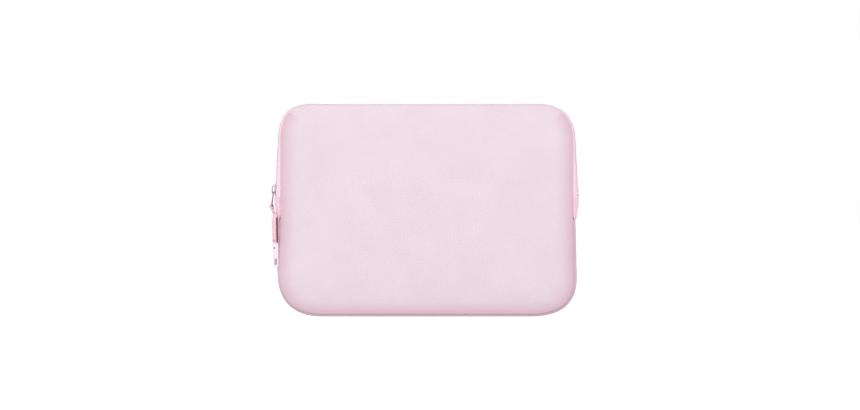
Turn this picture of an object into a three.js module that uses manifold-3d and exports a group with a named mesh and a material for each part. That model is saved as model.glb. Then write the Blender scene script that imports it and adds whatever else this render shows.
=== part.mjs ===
// A padded sleeve for a 13-inch laptop: two padded panels joined by a soft rim. The lower rim is a strip of
// cover fabric; the upper rim is a zip that runs up one side, across the top and down the other side.
// The sleeve stands on its bottom edge, in millimetres. +X is to the right of somebody who looks at the front
// panel, +Y points from the front panel to the back panel, +Z is up, and the origin is the middle of the
// flat bottom.

import * as THREE from 'three';
import { mergeVertices } from 'three/addons/utils/BufferGeometryUtils.js';
import Module from 'manifold-3d';

const wasm = await Module();
wasm.setup();

// ---------------------------------------------------------------- driving dimensions

const GAP = 0.3; // clearance between neighbouring pieces

// the outline of the front and back panels, along their seam with the rim
const PANEL_HALF_WIDTH = 165;
const PANEL_BOTTOM = 2.8;
const PANEL_TOP = 238.2;
const CORNER_SPAN = { top: 41, bottom: 49 }; // how far along each edge a corner's curve reaches
const CORNER_POWER = 2.5; // superellipse exponent of the corners
const CORNER_STEPS = 9;

// the section of a padded panel
const FACE_Y = 14; // outer faces, from the middle plane
const SEAM_Y = 8.5; // the panels' edges, from the middle plane
const ROUND_OVER = 14; // width over which a panel rounds from its face to its seam
const ROUND_STEPS = 3;
const COVER = 1.0;
const FOAM = 3.0;
const LINING = 1.2;

// the rim: how far its outer surface stands out past the panels' seam at each height, and the width over
// which it rolls back to the seam on either side
const RIM_HALF_WIDTH = 8.2;
const RIM_SHAPE = [
  { z: PANEL_BOTTOM, out: 2.8, roll: 2.0 },
  { z: 15, out: 3.4, roll: 2.6 },
  { z: 40, out: 3.8, roll: 3.0 },
  { z: 60, out: 4.2, roll: 3.0 },
  { z: 95, out: 3.7, roll: 3.0 },
  { z: 108, out: 2.9, roll: 3.0 },
  { z: 112, out: 3.0, roll: 3.0 },
  { z: 126, out: 5.2, roll: 4.0 },
  { z: 137, out: 5.7, roll: 4.0 },
  { z: 200, out: 2.4, roll: 4.0 },
  { z: 229, out: 1.8, roll: 4.0 },
  { z: 240, out: 1.0, roll: 4.0 },
];
const ZIP_RUN = { low: RIM_SHAPE[8], high: RIM_SHAPE[9] }; // the zip's straight stretch on each side
const ZIP_LEAN = Math.atan2(ZIP_RUN.low.out - ZIP_RUN.high.out, ZIP_RUN.high.z - ZIP_RUN.low.z);

// the pieces of the rim
const BOXING_TOP_Z = 111;
const BOXING = 1.2;
const BOXING_LINING = 0.8;
const BOXING_LINING_HALF = 5.9;
const TAPE_BOTTOM_Z = 111.6;
const TAPE = 0.7;
const TAPE_EDGE_Y = 0.8; // the two tapes' inner edges, from the middle plane
const COIL_BOTTOM_Z = 138.6;
const COIL = { near: 0.8, far: 2.3, height: 0.7 };
const STOP = { low: 136.5, high: 138.2, near: 0.75, far: 2.6, height: 0.9 };
const END_TAB = { low: 109, high: 136.2, thickness: 0.8 };
const BINDING = { outer: 1.7, inner: 5.0, near: 6.3, far: 8.1 }; // insets from the seam, then distances in Y

// the line across the front panel where the mouth folds open
const FOLD_Z = 153;

// the zip slider, in its own frame: X outwards from the tape, Z along the zip
const SLIDER_Z = 144;
const SLIDER = { length: 11, wide: 4.1, narrow: 3.1, plate: 0.8, corner: 1.2 };
const POST = { half: 0.2, length: 3.2, fromEnd: 0.4 };
const BRIDGE = { low: -5.4, high: 3.7, rise: 2.4, thickness: 0.9, width: 3.0, bend: 1.8 };

// the pull: a metal link, a webbing strap that twists, and an end tab
const LINK = { length: 15.8, thickness: 0.9, bar: 1.1, topHalf: 3.2, bottomHalf: 4.9, rail: 1.2, corner: 1.0 };
const LINK_LEAN = THREE.MathUtils.degToRad(7);
const STRAP = { width: 6.5, topThickness: 2.0, thickness: 4.0, length: 41.5, eyeOuter: 2.2, eyeInner: 1.2 };
const STRAP_LEAN = THREE.MathUtils.degToRad(-1); // the strap hangs back towards the side
const STRAP_TWIST = THREE.MathUtils.degToRad(50);
const STRAP_DRIFT = { inwards: 4.4, forwards: 8.4 }; // where the twisted stretch hangs, from the eye
const STRAP_STEPS = 10;
const TAB_TWIST = THREE.MathUtils.degToRad(45);
const TAB_DRIFT = { inwards: 4.0, forwards: 7.4 };
const PULL_TAB = { width: 8.4, length: 27.5, thickness: 2.4, corner: 1.6 };
const RIVET = { hole: 0.9, shank: 0.6, head: 1.3, headThickness: 0.5, fromTop: 5.5 };
const PATCH = { width: 4.2, length: 7, thickness: 0.5, recess: 0.5, fromBottom: 6.5, aside: 1.7 };

// ---------------------------------------------------------------- materials

const fabric = (color) => new THREE.MeshStandardMaterial({ color, roughness: 0.95, metalness: 0 });
const COVER_FABRIC = fabric('#ecd6e0');
const FOAM_SHEET = fabric('#e3d9dc');
const LINING_FABRIC = fabric('#dcc0cb');
const ZIP_TAPE = fabric('#fadbe7');
const TAB_FABRIC = fabric('#ffc9dc');
const BINDING_TAPE = fabric('#e6b8c8');
const WEBBING = fabric('#f9c3d3');
const COIL_NYLON = new THREE.MeshStandardMaterial({ color: '#f3cfdd', roughness: 0.5, metalness: 0 });
const NICKEL = new THREE.MeshStandardMaterial({ color: '#b9a9b0', roughness: 0.35, metalness: 0.9 });
const PULL_LEATHER = new THREE.MeshStandardMaterial({ color: '#f7ebf5', roughness: 0.6, metalness: 0 });
const PATCH_LEATHER = new THREE.MeshStandardMaterial({ color: '#c9adbc', roughness: 0.6, metalness: 0 });

// ---------------------------------------------------------------- solids

const X_AXIS = new THREE.Vector3(1, 0, 0);
const Y_AXIS = new THREE.Vector3(0, 1, 0);
const Z_AXIS = new THREE.Vector3(0, 0, 1);

const sleeve = new THREE.Group();

function addPiece(name, geometry, material, parent = sleeve) {
  const mesh = new THREE.Mesh(geometry, material);
  mesh.name = name;
  parent.add(mesh);
}

// A closed body through a row of rings, each with the same even number of points. In a loop the last ring
// joins the first. Otherwise the end rings are closed like a ladder, from the two points that start and end a
// ring to the two in its middle. A four-sided face is split along its shorter diagonal, so that the facing
// sides of two neighbouring bodies are split alike.
function loft(rings, loop = false) {
  const count = rings[0].length;
  const points = rings.flat();
  const faces = [];
  const addFace = (a, b, c, d) => {
    if (points[a].distanceTo(points[c]) < points[b].distanceTo(points[d])) faces.push(a, b, c, a, c, d);
    else faces.push(a, b, d, b, c, d);
  };
  const joins = loop ? rings.length : rings.length - 1;
  for (let r = 0; r < joins; r += 1) {
    const here = r * count;
    const there = ((r + 1) % rings.length) * count;
    for (let i = 0; i < count; i += 1) {
      const next = (i + 1) % count;
      addFace(here + i, here + next, there + next, there + i);
    }
  }
  if (!loop) {
    const last = (rings.length - 1) * count;
    for (let i = 0; i < count / 2 - 1; i += 1) {
      const rung = [i, i + 1, count - 2 - i, count - 1 - i];
      addFace(...rung.map((corner) => last + corner));
      addFace(...rung.reverse());
    }
  }
  return facingOut(new THREE.BufferGeometry().setFromPoints(points).setIndex(faces));
}

// Turns every face over if the body is inside out.
function facingOut(geometry) {
  const position = geometry.attributes.position;
  const faces = [...geometry.index.array];
  const corner = (i) => new THREE.Vector3().fromBufferAttribute(position, faces[i]);
  let volume = 0;
  for (let i = 0; i < faces.length; i += 3) {
    volume += corner(i).dot(corner(i + 1).cross(corner(i + 2)));
  }
  if (volume < 0) {
    faces.reverse();
    geometry.setIndex(faces);
  }
  geometry.computeVertexNormals();
  return geometry;
}

function solidOf(geometry) {
  const bare = geometry.clone();
  bare.deleteAttribute('normal');
  bare.deleteAttribute('uv');
  const merged = mergeVertices(bare);
  return new wasm.Manifold(new wasm.Mesh({
    numProp: 3,
    vertProperties: new Float32Array(merged.attributes.position.array),
    triVerts: new Uint32Array(merged.index.array),
  }));
}

function geometryOf(solid) {
  const mesh = solid.getMesh();
  const geometry = new THREE.BufferGeometry();
  geometry.setAttribute('position', new THREE.BufferAttribute(mesh.vertProperties, 3));
  geometry.setIndex(new THREE.BufferAttribute(mesh.triVerts, 1));
  geometry.computeVertexNormals();
  return geometry;
}

// The part of a body above or below a height.
function partAbove(geometry, z) {
  return geometryOf(solidOf(geometry).subtract(slabBelow(z)));
}

function partBelow(geometry, z) {
  return geometryOf(solidOf(geometry).intersect(slabBelow(z)));
}

function slabBelow(z) {
  const size = 2 * PANEL_TOP;
  return solidOf(new THREE.BoxGeometry(size, size, size).translate(0, 0, z - size / 2));
}

// A flat shape as a plate: its X and Y become Y and Z, and its thickness is centred on x.
function uprightPlate(shape, thickness, x) {
  const plate = new THREE.ExtrudeGeometry(shape, { depth: thickness, bevelEnabled: false });
  plate.translate(0, 0, x - thickness / 2);
  return plate.applyMatrix4(new THREE.Matrix4().makeBasis(Y_AXIS, Z_AXIS, X_AXIS));
}

// A side profile, drawn as (along Z, outwards along X), as a bar of a width in Y.
function profileBar(shape, width) {
  const bar = new THREE.ExtrudeGeometry(shape, { depth: width, bevelEnabled: false, curveSegments: 8 });
  bar.translate(0, 0, -width / 2);
  return bar.applyMatrix4(new THREE.Matrix4().makeBasis(Z_AXIS, X_AXIS, Y_AXIS));
}

// A four-sided outline with rounded corners, from its corner points in order.
function roundedOutline(corners, radius, Kind = THREE.Shape) {
  const outline = new Kind();
  corners.forEach((corner, i) => {
    const before = corners.at(i - 1);
    const after = corners[(i + 1) % corners.length];
    const enter = new THREE.Vector2().subVectors(before, corner).setLength(radius).add(corner);
    const leave = new THREE.Vector2().subVectors(after, corner).setLength(radius).add(corner);
    if (i === 0) outline.moveTo(enter.x, enter.y);
    else outline.lineTo(enter.x, enter.y);
    outline.quadraticCurveTo(corner.x, corner.y, leave.x, leave.y);
  });
  outline.closePath();
  return outline;
}

// The corner points of an upright shape, symmetric about x = 0, that widens or narrows from low to high.
function taper(low, lowHalf, high, highHalf) {
  return [
    new THREE.Vector2(-lowHalf, low),
    new THREE.Vector2(lowHalf, low),
    new THREE.Vector2(highHalf, high),
    new THREE.Vector2(-highHalf, high),
  ];
}

// ---------------------------------------------------------------- the panels' outline

// A point on a corner of the outline: side is -1 left or 1 right, end is -1 bottom or 1 top, and share
// runs from 0, where the side ends, to 1, where the top or bottom edge begins.
function cornerStation(side, end, share, inset = 0) {
  const span = end > 0 ? CORNER_SPAN.top : CORNER_SPAN.bottom;
  const edge = end > 0 ? PANEL_TOP : PANEL_BOTTOM;
  const angle = (share * Math.PI) / 2;
  const across = share === 1 ? 0 : Math.cos(angle) ** (2 / CORNER_POWER);
  const along = Math.sin(angle) ** (2 / CORNER_POWER);
  const normal = new THREE.Vector2(
    side * across ** (CORNER_POWER - 1),
    end * along ** (CORNER_POWER - 1),
  ).normalize();
  return {
    x: side * (PANEL_HALF_WIDTH - span + (span - inset) * across),
    z: edge - end * span + end * (span - inset) * along,
    normal,
  };
}

function cornerStations(side, end, inset = 0) {
  return Array.from({ length: CORNER_STEPS + 1 }, (_, i) => cornerStation(side, end, i / CORNER_STEPS, inset));
}

// The whole outline, anticlockwise as the front is seen, moved inwards by an inset.
function outline(inset) {
  return [
    ...cornerStations(1, -1, inset).reverse(),
    ...cornerStations(1, 1, inset),
    ...cornerStations(-1, 1, inset).reverse(),
    ...cornerStations(-1, -1, inset),
  ];
}

// ---------------------------------------------------------------- padded panels

// One ring of a panel's surface at a depth under its outer skin. The angle turns from 0 at the seam to a
// right angle at the flat face, and side is -1 for the front panel and 1 for the back panel.
function panelRing(side, depth, angle) {
  const inset = depth + (ROUND_OVER - depth) * (1 - Math.cos(angle));
  const y = SEAM_Y + (FACE_Y - SEAM_Y - depth) * Math.sin(angle);
  return outline(inset).map((station) => new THREE.Vector3(station.x, side * y, station.z));
}

// One layer of a panel: a shallow pan whose lip is at the seam.
function panelLayer(side, depth, thickness) {
  const angles = Array.from({ length: ROUND_STEPS + 1 }, (_, i) => ((i / ROUND_STEPS) * Math.PI) / 2);
  const outside = angles.map((angle) => panelRing(side, depth, angle)).reverse();
  const inside = angles.map((angle) => panelRing(side, depth + thickness, angle));
  return loft([...outside, ...inside]);
}

const LAYERS = [
  { name: 'cover', depth: 0, thickness: COVER, material: COVER_FABRIC },
  { name: 'foam', depth: COVER + GAP, thickness: FOAM, material: FOAM_SHEET },
  { name: 'lining', depth: COVER + FOAM + 2 * GAP, thickness: LINING, material: LINING_FABRIC },
];

function addPanels() {
  for (const { name, depth, thickness, material } of LAYERS) {
    const front = panelLayer(-1, depth, thickness);
    addPiece(`front_${name}_upper`, partAbove(front, FOLD_Z + GAP), material);
    addPiece(`front_${name}_lower`, partBelow(front, FOLD_Z - GAP), material);
    addPiece(`back_${name}`, panelLayer(1, depth, thickness), material);
  }
}

// ---------------------------------------------------------------- the rim

// The rim's shape at a height, between the rows of RIM_SHAPE.
function rimAt(z) {
  const above = Math.max(1, RIM_SHAPE.findIndex((row) => row.z >= z));
  const [low, high] = [RIM_SHAPE[above - 1], RIM_SHAPE[above]];
  const share = THREE.MathUtils.inverseLerp(low.z, high.z, z);
  return {
    out: THREE.MathUtils.lerp(low.out, high.out, share),
    roll: THREE.MathUtils.lerp(low.roll, high.roll, share),
  };
}

// A point of the rim: y from the middle plane, and proud of the rim's outer surface.
function rimPoint(station, y, proud) {
  const { out, roll } = rimAt(station.z);
  const reach = out * Math.min(1, (RIM_HALF_WIDTH - Math.abs(y)) / roll) + proud;
  return new THREE.Vector3(station.x + station.normal.x * reach, y, station.z + station.normal.y * reach);
}

// Stations up or down one straight side, with one at each row of RIM_SHAPE on the way.
function sideStations(side, from, to) {
  const [low, high] = [Math.min(from, to), Math.max(from, to)];
  const heights = [low, ...RIM_SHAPE.map((row) => row.z).filter((z) => z > low && z < high), high];
  if (from > to) heights.reverse();
  return heights.map((z) => ({ x: side * PANEL_HALF_WIDTH, z, normal: new THREE.Vector2(side, 0) }));
}

// The rim from the left side at a height, over the top (end 1) or under the bottom (end -1), to the same
// height on the right side.
function rimRun(end, z) {
  const cornerZ = end > 0 ? PANEL_TOP - CORNER_SPAN.top : PANEL_BOTTOM + CORNER_SPAN.bottom;
  const left = [...sideStations(-1, z, cornerZ).slice(0, -1), ...cornerStations(-1, end)];
  const right = left.map((station) => ({
    x: -station.x,
    z: station.z,
    normal: new THREE.Vector2(-station.normal.x, station.normal.y),
  }));
  return [...left, ...right.reverse()];
}

// A band that follows the rim through distances ys(z) from the middle plane, from one height over the rim's
// outer surface to another.
function rimBand(stations, ys, low, high) {
  return loft(stations.map((station) => [
    ...ys(station.z).map((y) => rimPoint(station, y, high)),
    ...ys(station.z).map((y) => rimPoint(station, y, low)).reverse(),
  ]));
}

const shoulder = (z) => RIM_HALF_WIDTH - rimAt(z).roll;
const acrossRim = (z) => [-RIM_HALF_WIDTH, -shoulder(z), shoulder(z), RIM_HALF_WIDTH];
const acrossTape = (side) => (z) => [side * RIM_HALF_WIDTH, side * shoulder(z), side * TAPE_EDGE_Y];
const between = (side, near, far) => () => [side * far, side * near];

function addBoxing() {
  const run = rimRun(-1, BOXING_TOP_Z);
  addPiece('boxing_strip', rimBand(run, acrossRim, -BOXING, 0), COVER_FABRIC);
  const outer = -BOXING - GAP;
  const lined = () => [-BOXING_LINING_HALF, BOXING_LINING_HALF];
  addPiece('boxing_lining', rimBand(run, lined, outer - BOXING_LINING, outer), LINING_FABRIC);
}

// The zip's two halves. The front half is in three lengths, because the mouth folds open with the upper one.
function addZip() {
  const coil = (side) => between(side, COIL.near, COIL.far);
  const pieces = [
    { name: 'tape', bottom: TAPE_BOTTOM_Z, ys: acrossTape, low: -TAPE, high: 0, material: ZIP_TAPE },
    { name: 'coil', bottom: COIL_BOTTOM_Z, ys: coil, low: GAP, high: GAP + COIL.height, material: COIL_NYLON },
  ];
  for (const { name, bottom, ys, low, high, material } of pieces) {
    addPiece(`zip_${name}_back`, rimBand(rimRun(1, bottom), ys(1), low, high), material);
    addPiece(`zip_${name}_front_upper`, rimBand(rimRun(1, FOLD_Z + GAP), ys(-1), low, high), material);
    for (const [word, side] of [['left', -1], ['right', 1]]) {
      const run = sideStations(side, bottom, FOLD_Z - GAP);
      addPiece(`zip_${name}_front_${word}`, rimBand(run, ys(-1), low, high), material);
    }
  }
}

function addZipEnds() {
  for (const [word, side] of [['left', -1], ['right', 1]]) {
    for (const [half, sign] of [['front', -1], ['back', 1]]) {
      const run = sideStations(side, STOP.low, STOP.high);
      const stop = rimBand(run, between(sign, STOP.near, STOP.far), GAP, GAP + STOP.height);
      addPiece(`zip_stop_${word}_${half}`, stop, NICKEL);
    }
    const run = sideStations(side, END_TAB.low, END_TAB.high);
    addPiece(`end_tab_${word}`, rimBand(run, acrossRim, GAP, GAP + END_TAB.thickness), TAB_FABRIC);
  }
}

// The tape that binds the raw edges inside each seam.
function bindingRing(side, station) {
  const { outer, inner, near, far } = BINDING;
  return [[outer, near], [outer, far], [inner, far], [inner, near]].map(([inset, y]) => new THREE.Vector3(
    station.x - station.normal.x * inset,
    side * y,
    station.z - station.normal.y * inset,
  ));
}

function addBindings() {
  const bind = (stations, side, loop) => loft(stations.map((station) => bindingRing(side, station)), loop);
  addPiece('seam_binding_back', bind(outline(0), 1, true), BINDING_TAPE);
  addPiece('seam_binding_front_upper', bind(rimRun(1, FOLD_Z + GAP), -1), BINDING_TAPE);
  addPiece('seam_binding_front_lower', bind(rimRun(-1, FOLD_Z - GAP), -1), BINDING_TAPE);
}

// ---------------------------------------------------------------- the slider and its pull

// A group on the left side whose X points outwards, leaning from the vertical.
function outwardGroup(x, z, lean) {
  const group = new THREE.Group();
  group.position.set(x, 0, z);
  group.rotation.set(0, lean, Math.PI, 'YXZ');
  sleeve.add(group);
  return group;
}

const PLATE_X = GAP + COIL.height + GAP; // inner face of the slider's outer plate
const UNDER_X = -TAPE - GAP; // outer face of its inner plate

function addSlider() {
  const slider = outwardGroup(-PANEL_HALF_WIDTH - rimAt(SLIDER_Z).out, SLIDER_Z, ZIP_LEAN);
  const half = SLIDER.length / 2;
  const plateOutline = () => roundedOutline(taper(-half, SLIDER.wide, half, SLIDER.narrow), SLIDER.corner);
  const outer = uprightPlate(plateOutline(), SLIDER.plate, PLATE_X + SLIDER.plate / 2);
  const inner = uprightPlate(plateOutline(), SLIDER.plate, UNDER_X - SLIDER.plate / 2);
  const postDepth = PLATE_X - UNDER_X + SLIDER.plate;
  const post = new THREE.BoxGeometry(postDepth, 2 * POST.half, POST.length);
  post.translate((PLATE_X + UNDER_X) / 2, 0, POST.fromEnd + POST.length / 2 - half);
  const body = solidOf(outer).add(solidOf(inner)).add(solidOf(post));
  addPiece('slider_body', geometryOf(body), NICKEL, slider);
  addPiece('slider_bridge', bridgeGeometry(), NICKEL, slider);
}

// The bridge: an arch over the outer plate, with the link's bar inside it.
function bridgeGeometry() {
  const { low, high, rise, thickness, width, bend } = BRIDGE;
  const foot = PLATE_X + SLIDER.plate + GAP;
  const top = foot + rise;
  const shape = new THREE.Shape();
  shape.moveTo(low, foot);
  shape.lineTo(low, top - bend);
  shape.quadraticCurveTo(low, top, low + bend, top);
  shape.lineTo(high - bend, top);
  shape.quadraticCurveTo(high, top, high, top - bend);
  shape.lineTo(high, foot);
  shape.lineTo(high - thickness, foot);
  shape.lineTo(high - thickness, top - bend);
  shape.quadraticCurveTo(high - thickness, top - thickness, high - bend, top - thickness);
  shape.lineTo(low + bend, top - thickness);
  shape.quadraticCurveTo(low + thickness, top - thickness, low + thickness, top - bend);
  shape.lineTo(low + thickness, foot);
  shape.closePath();
  return profileBar(shape, width);
}

// Where the link's top bar hangs inside the bridge, and where the strap's eye hangs on its bottom bar.
function pullPivots() {
  const out = PLATE_X + SLIDER.plate + (GAP + BRIDGE.rise - BRIDGE.thickness) / 2;
  const along = BRIDGE.low + BRIDGE.thickness + GAP + LINK.bar / 2;
  const pivot = new THREE.Vector3(-out, 0, along).applyAxisAngle(Y_AXIS, ZIP_LEAN);
  pivot.add(new THREE.Vector3(-PANEL_HALF_WIDTH - rimAt(SLIDER_Z).out, 0, SLIDER_Z));
  const eye = new THREE.Vector3(0, 0, -LINK.length).applyAxisAngle(Y_AXIS, LINK_LEAN).add(pivot);
  return { pivot, eye };
}

const { pivot, eye } = pullPivots();

// A flat link with a slot for the bridge at its top and a wider slot for the strap at its bottom.
function addLink() {
  const link = outwardGroup(pivot.x, pivot.z, LINK_LEAN);
  const { length, thickness, bar, topHalf, bottomHalf, rail, corner } = LINK;
  const [top, bottom] = [bar / 2, -length - bar / 2];
  const shape = roundedOutline(taper(bottom, bottomHalf, top, topHalf), corner);
  const waist = -length / 2;
  const waistHalf = (topHalf + bottomHalf) / 2;
  const slots = [
    taper(waist + bar / 2, waistHalf - rail, top - bar, topHalf - rail),
    taper(bottom + bar, bottomHalf - rail, waist - bar / 2, waistHalf - rail),
  ];
  slots.forEach((slot) => shape.holes.push(roundedOutline(slot, corner / 2, THREE.Path)));
  addPiece('pull_link', uprightPlate(shape, thickness, 0), NICKEL, link);
}

// The strap's section at a share of its length below the eye: over its upper half it twists, drifts and
// thickens.
function strapRing(share) {
  const turned = THREE.MathUtils.smoothstep(share, 0, 0.5);
  const drop = THREE.MathUtils.lerp(STRAP.eyeInner, STRAP.length, share);
  const middle = new THREE.Vector3(-STRAP_DRIFT.inwards * turned, STRAP_DRIFT.forwards * turned, -drop);
  const thickness = THREE.MathUtils.lerp(STRAP.topThickness, STRAP.thickness, turned);
  return [[1, 1], [1, -1], [-1, -1], [-1, 1]].map(([thick, wide]) => {
    const corner = new THREE.Vector3((thick * thickness) / 2, (wide * STRAP.width) / 2, 0);
    return corner.applyAxisAngle(Z_AXIS, STRAP_TWIST * turned).add(middle);
  });
}

function addStrap(hanging) {
  const steps = Array.from({ length: STRAP_STEPS + 1 }, (_, i) => i / STRAP_STEPS);
  const tail = solidOf(loft(steps.map(strapRing)));
  const fold = solidOf(new THREE.CylinderGeometry(STRAP.eyeOuter, STRAP.eyeOuter, STRAP.width, 20));
  const bore = solidOf(new THREE.CylinderGeometry(STRAP.eyeInner, STRAP.eyeInner, 2 * STRAP.width, 16));
  addPiece('pull_strap', geometryOf(tail.add(fold).subtract(bore)), WEBBING, hanging);
}

// The end tab, with its rivet through it and a plain patch let into its outer face.
function addPullTab(hanging) {
  const frame = new THREE.Group();
  frame.position.set(-TAB_DRIFT.inwards, TAB_DRIFT.forwards, -STRAP.length - GAP);
  frame.rotation.z = TAB_TWIST;
  hanging.add(frame);
  const { width, length, thickness, corner } = PULL_TAB;
  const shape = roundedOutline(taper(-length, width / 2, 0, width / 2), corner);
  const rivetHole = new THREE.Path().absarc(0, -RIVET.fromTop, RIVET.hole, 0, 2 * Math.PI);
  shape.holes.push(rivetHole);
  const slab = solidOf(uprightPlate(shape, thickness, 0));
  const patchZ = -length + PATCH.fromBottom;
  const recess = new THREE.BoxGeometry(2 * PATCH.recess, PATCH.width + 2 * GAP, PATCH.length + 2 * GAP);
  recess.translate(thickness / 2, PATCH.aside, patchZ);
  addPiece('pull_tab', geometryOf(slab.subtract(solidOf(recess))), PULL_LEATHER, frame);
  const patch = new THREE.BoxGeometry(PATCH.thickness, PATCH.width, PATCH.length);
  patch.translate(thickness / 2 - PATCH.recess + GAP + PATCH.thickness / 2, PATCH.aside, patchZ);
  addPiece('pull_tab_patch', patch, PATCH_LEATHER, frame);
  addPiece('pull_tab_rivet', rivetGeometry(), NICKEL, frame);
}

function rivetGeometry() {
  const under = PULL_TAB.thickness / 2 + GAP;
  const top = under + RIVET.headThickness;
  const profile = [
    [0, -top], [RIVET.head * 0.6, -top], [RIVET.head, -under], [RIVET.shank, -under],
    [RIVET.shank, under], [RIVET.head, under], [RIVET.head * 0.6, top], [0, top],
  ];
  const rivet = new THREE.LatheGeometry(profile.map(([r, h]) => new THREE.Vector2(r, h)), 16);
  return rivet.rotateZ(-Math.PI / 2).translate(0, 0, -RIVET.fromTop);
}

// ---------------------------------------------------------------- the sleeve

addPanels();
addBoxing();
addZip();
addZipEnds();
addBindings();
addSlider();
addLink();
const hanging = outwardGroup(eye.x, eye.z, STRAP_LEAN);
addStrap(hanging);
addPullTab(hanging);

export default sleeve;
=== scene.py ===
import math

import bmesh
import bpy
from mathutils import Matrix, Vector, noise


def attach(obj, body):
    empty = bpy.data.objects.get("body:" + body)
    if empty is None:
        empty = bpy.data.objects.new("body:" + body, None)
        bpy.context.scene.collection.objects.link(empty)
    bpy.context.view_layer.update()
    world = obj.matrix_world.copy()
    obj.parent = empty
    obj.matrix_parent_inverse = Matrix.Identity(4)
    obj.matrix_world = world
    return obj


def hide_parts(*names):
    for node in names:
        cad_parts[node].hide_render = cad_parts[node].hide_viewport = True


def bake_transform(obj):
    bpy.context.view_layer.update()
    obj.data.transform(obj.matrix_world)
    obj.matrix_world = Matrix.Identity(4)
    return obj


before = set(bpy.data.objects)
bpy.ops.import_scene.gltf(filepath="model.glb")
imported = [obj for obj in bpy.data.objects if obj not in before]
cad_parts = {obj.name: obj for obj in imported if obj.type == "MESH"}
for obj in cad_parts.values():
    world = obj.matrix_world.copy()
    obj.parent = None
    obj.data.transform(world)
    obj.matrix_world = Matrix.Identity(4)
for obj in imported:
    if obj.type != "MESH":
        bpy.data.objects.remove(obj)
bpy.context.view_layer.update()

# A padded laptop sleeve. Shapes are drawn in millimetres, in the CAD frame: +X right as the front is seen,
# +Y from the front panel to the back panel, +Z up. Meshes are made in metres.
MM = 0.001

# -------- shape, as in the CAD

PANEL_HALF_WIDTH = 165
PANEL_EDGE = {-1: 2.8, 1: 238.2}  # height of the panels' bottom (-1) and top (1) edges
CORNER_SPAN = {-1: 49, 1: 41}
CORNER_POWER = 2.5
FACE_Y = 14
SEAM_Y = 8.5
ROUND_OVER = 14
COVER = 1.0
FOAM = 3.0
LINING = 1.2
GAP = 0.3

RIM_HALF_WIDTH = 8.2
RIM_ROWS = (  # height, how far the rim stands out past the seam, width over which it rolls back to the seam
    (2.8, 2.8, 2.0),
    (15, 3.4, 2.6),
    (40, 3.8, 3.0),
    (60, 4.2, 3.0),
    (95, 3.7, 3.0),
    (108, 2.9, 3.0),
    (112, 3.0, 3.0),
    (126, 5.2, 4.0),
    (137, 5.7, 4.0),
    (200, 2.4, 4.0),
    (229, 1.8, 4.0),
    (240, 1.0, 4.0),
)
BOXING_TOP_Z = 111
BOXING = 1.2
BOXING_LINING = 0.8
BOXING_LINING_HALF = 5.9
TAPE_BOTTOM_Z = 111.6
TAPE = 0.7
TAPE_EDGE_Y = 0.8
END_TAB_LOW = 109
END_TAB_HIGH = 136.2
END_TAB = 0.8
BINDING_OUTER = 1.7
BINDING_INNER = 5.0
BINDING_NEAR = 6.3
BINDING_FAR = 8.1
BINDING_TAPE = 0.5

EYE = Vector((-175.4457, 0, 124.8297))  # where the strap hangs on the link
STRAP_LEAN = math.radians(-1)
STRAP_WIDTH = 6.5
STRAP_TOP_THICKNESS = 2.0
STRAP_LENGTH = 41.5
STRAP_EYE = 1.7  # radius of the strap's middle layer round the link
STRAP_TWIST = math.radians(50)
STRAP_INWARDS = 4.4
STRAP_FORWARDS = 8.4
TAB_TWIST = math.radians(45)
TAB_INWARDS = 4.0
TAB_FORWARDS = 7.4
PULL_WIDTH = 8.4
PULL_LENGTH = 27.5
PULL_THICKNESS = 2.4
PATCH_SIZE = (4.2, 7.0)
PATCH_FROM_BOTTOM = 6.5
PATCH_ASIDE = 1.7

# -------- shape, only here

FLARE = {"width": 2.0, "middle": 50, "reach": 38, "start": 60}  # the panels' spread at the lower left
EDGE_SHADE_REACH = 1.3 * ROUND_OVER  # how far in from the seam a panel's sides and bottom get painted shade
BULGES = (  # middle, push and reach of the places where the soft outline isn't square
    ((-152, 232), (-1.2, 1.3), 20),
    ((150, 22), (3.0, 0.0), 28),
)
PUCKER = {"near": (3.5, 7.5), "wave": 3.1, "lag": 1.2, "wander": 1.5, "depth": 0.25, "slack": 0.18}
PUCKER_PATCH = (14, 9, 3.7)  # length and width of a slack patch, and the place in the noise
TAB_PUFF = 0.15
TAB_DIP = 0.2
PANEL_ROUND_STEPS = 8
PANEL_GRID = 6.0
RIM_STEP = 3.0
RIM_STEPS_ACROSS = 12
TAB_STEP = 1.6
CORNER_STEPS = 160

SWELL_FRAMES = 20
SWELL_CLOTH = {
    "quality": 8,
    "mass": 0.3,
    "tension_stiffness": 15,
    "compression_stiffness": 15,
    "shear_stiffness": 5,
    "bending_stiffness": 0.5,
    "uniform_pressure_force": 4.0,
}
SWELL_CAP = 2.2
HELD_RINGS = 2

TOOTH_PITCH = 1.25
TOOTH_HALF = 0.25
TOOTH_HEIGHT = 0.5
TOOTH_RINGS = (  # share of the way to its head, width and height as shares of the tooth's
    (0, 0.5, 0.5),
    (0.12, 0.9, 0.9),
    (0.6, 0.85, 0.95),
    (0.82, 1.05, 1.0),
    (1, 0.6, 0.55),
)
TOOTH_SEAT = 0.98  # half the tooth's height, as a share of how far its middle stands off the rim
TOOTH_FAR = 2.3
TOOTH_MESHED = -0.5
TOOTH_APART = 0.25
SLIDER_REACH_Z = 202  # the teeth on the left stay apart up to here, for the slider's divider
COIL_BOTTOM_Z = 138.8

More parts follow.
